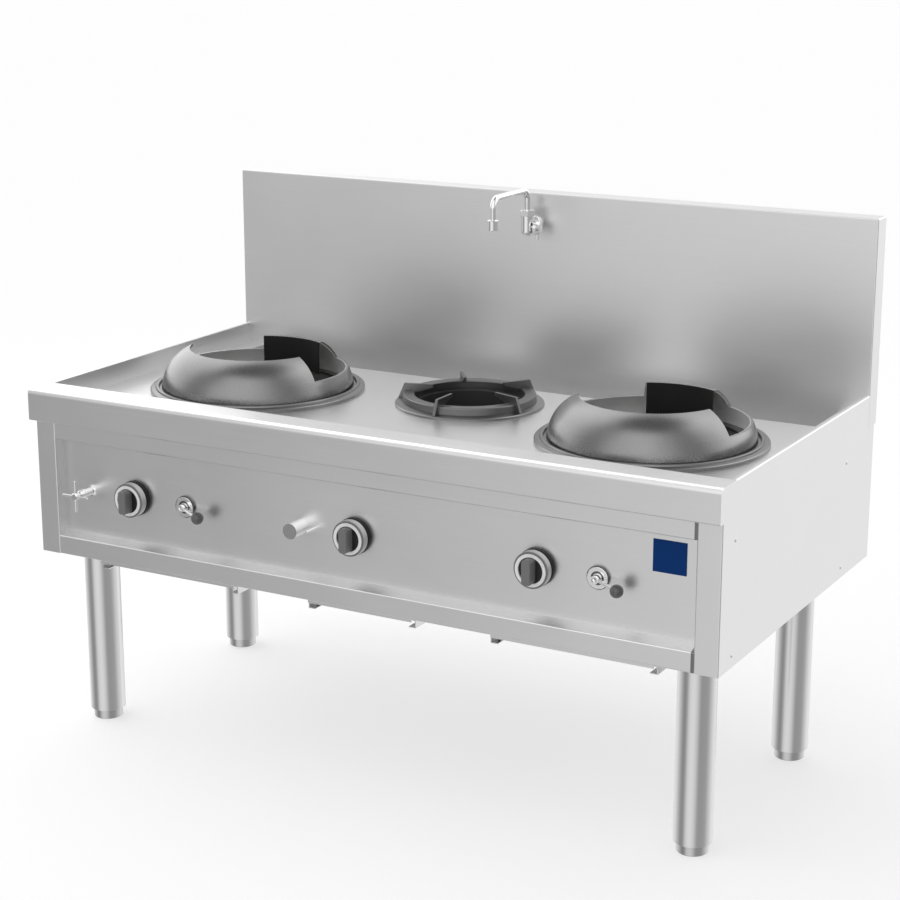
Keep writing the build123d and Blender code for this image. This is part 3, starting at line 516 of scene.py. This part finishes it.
def badgePlate():
    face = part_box("control_panel")[0].y
    size = (badge["right"] - badge["left"], badge["thick"], badge["high"] - badge["low"])
    across, height = (badge["left"] + badge["right"]) / 2, (badge["low"] + badge["high"]) / 2
    middle = (across, face - badge["thick"] / 2, height)
    shape = bmesh.new()
    bmesh.ops.create_cube(shape, size=1.0, matrix=Matrix.LocRotScale(middle, None, size))
    bmesh.ops.bevel(
        shape,
        geom=shape.edges[:],
        offset=badge["edge"],
        affect="EDGES",
        segments=badge["edgeSteps"],
        profile=0.5,
        material=-1,
    )
    addPiece("badge_plate", shape, "frame", "badgeEnamel")


rivet = {
    "radius": 0.0042,
    "rise": 0.0016,
    "round": 24,
    "rings": 12,
    "midDepth": 0.4695,  # from the places' zero to the middle of the range
    "places": [(0.0916, 0.718), (0.0918, 0.4705), (0.7567, 0.4702), (0.7636, 0.7186)],  # depth, height
}


def sideRivets(name, face):
    shape = bmesh.new()
    ball = {"u_segments": rivet["round"], "v_segments": rivet["rings"], "radius": rivet["radius"]}
    flat = Matrix.Diagonal((rivet["rise"] / rivet["radius"], 1, 1, 1))
    for depth, height in rivet["places"]:
        points = bmesh.ops.create_uvsphere(shape, **ball)["verts"]
        put = Matrix.Translation((face, depth - rivet["midDepth"], height))
        bmesh.ops.transform(shape, matrix=put @ flat, verts=points)
    addPiece("rivets_" + name, shape, "frame", "footSteel", True)


badgeFinish("badgeEnamel")
badgePlate()
sideRivets("left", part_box("side_panel_left")[0].x)
sideRivets("right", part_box("side_panel_right")[1].x)
print("added pieces made")

studio = {"lens": 84.76, "place": (2.3657, -4.2098, 1.9974), "tilt": 75.003, "turn": 29.330}  # degrees


def studioCamera():
    camera = bpy.data.objects.new("camera", bpy.data.cameras.new("camera"))
    camera.data.lens = studio["lens"]
    camera.location = studio["place"]
    camera.rotation_euler = (math.radians(studio["tilt"]), 0.0, math.radians(studio["turn"]))
    bpy.context.scene.collection.objects.link(camera)
    bpy.context.scene.camera = camera


def rays(start, *kinds):  # 1 for rays of these kinds
    seen = 0.0
    for kind in kinds:
        seen = start.make("ShaderNodeLightPath", out=kind) + seen
    return seen


# the camera sees seenPaint and glow, everything else is lit by paint
floorLook = {"paint": 0.80, "seenPaint": 0.60, "glow": 0.53, "reach": 90}


def floorShader(start):
    camera = rays(start, "Is Camera Ray", "Is Transmission Ray")
    shade = floorLook["paint"] - camera * (floorLook["paint"] - floorLook["seenPaint"])
    plain = start.make("ShaderNodeBsdfDiffuse", None, {"Color": shade.tint(0.0, 1.0)})
    glow = camera * floorLook["glow"]
    lit = start.make("ShaderNodeEmission", None, {"Color": asColour(1.0), "Strength": glow})
    return start.make("ShaderNodeAddShader", None, {0: plain, 1: lit})


def stageFloor(reach):
    shape = bmesh.new()
    bmesh.ops.create_grid(shape, x_segments=1, y_segments=1, size=reach)
    mesh = bpy.data.meshes.new("floor")
    shape.to_mesh(mesh)
    shape.free()
    material = bpy.data.materials.new("paleFloor")
    material.use_nodes = True
    material.node_tree.nodes.clear()
    surface = floorShader(Wire(material.node_tree))
    surface.make("ShaderNodeOutputMaterial", None, {"Surface": surface}, None)
    mesh.materials.append(material)
    stage = bpy.data.objects.new("floor", mesh)
    bpy.context.scene.collection.objects.link(stage)
    stage.visible_glossy = False


roomLook = {
    "horizon": (-0.12, 0.14),  # between these the low ring passes into the high one
    "overhead": (0.86, 0.98),  # and between these the high ring into the zenith
    "zenith": 0.24,
    "fill": 0.76,  # the plain light on surfaces that don't mirror the room
    "slant": 0.5,  # how much darker that is to the right
    "low": [  # angle round the room in degrees, brightness
        (-180, 0.75), (-145, 0.30), (-131, 0.30), (-119, 0.52), (-112, 0.78), (-100, 0.88),
        (-80, 0.90), (-62, 0.70), (-45, 0.36), (0, 0.40), (33, 0.78), (62, 1.02),
        (95, 0.90), (119, 0.62), (138, 0.95), (160, 0.95), (180, 0.75),
    ],
    "high": [
        (-180, 1.60), (-166, 1.20), (-150, 0.55), (-130, 0.60), (-112, 1.25), (-90, 1.36),
        (-70, 1.40), (-50, 1.08), (-30, 0.62), (-10, 0.50), (10, 1.10), (30, 1.70),
        (60, 1.95), (90, 1.60), (106, 0.95), (119, 0.95), (127, 1.45), (140, 1.90),
        (158, 1.90), (180, 1.60),
    ],
}


def studioWorld():
    world = bpy.data.worlds.new("studio")
    bpy.context.scene.world = world
    world.use_nodes = True
    start = Wire(world.node_tree)
    x, y, z = start.make("ShaderNodeTexCoord", out="Generated").axes()
    turn = y.math("ARCTAN2", y, x) * (0.5 / math.pi) + 0.5  # 0 to 1 once round the room
    rings = []
    for level in ("low", "high"):
        stops = [((angle + 180) / 360, glow) for angle, glow in roomLook[level]]
        rings.append(turn.make("ShaderNodeValToRGB", {"stops": stops}, {"Fac": turn}))
    sides = z.ease(*roomLook["horizon"]).tint(*rings)
    room = z.ease(*roomLook["overhead"]).tint(sides, roomLook["zenith"])
    seen = rays(start, "Is Camera Ray", "Is Transmission Ray")
    metal = rays(start, "Is Glossy Ray")
    plain = roomLook["fill"] - x * roomLook["slant"]
    colour = metal.tint(seen.tint(plain, 1.0), room)
    world.node_tree.links.new(colour.socket, world.node_tree.nodes["Background"].inputs["Color"])


lampLook = {"place": (-2.4, 0.6, 3.4), "target": (0, 0, 0.5), "size": (2.5, 2.5), "power": 12}


def softLamp(name, place, target, size, power):
    lamp = bpy.data.lights.new(name, "AREA")
    lamp.shape = "RECTANGLE"
    lamp.size, lamp.size_y = size
    lamp.energy = power
    box = bpy.data.objects.new(name, lamp)
    box.location = place
    box.rotation_euler = (Vector(target) - Vector(place)).to_track_quat("-Z", "Y").to_euler()
    bpy.context.scene.collection.objects.link(box)
    box.visible_glossy = False


studioCamera()
stageFloor(floorLook["reach"])
studioWorld()
softLamp("overhead", **lampLook)

bpy.context.scene.view_settings.view_transform = "Standard"
print("studio ready")
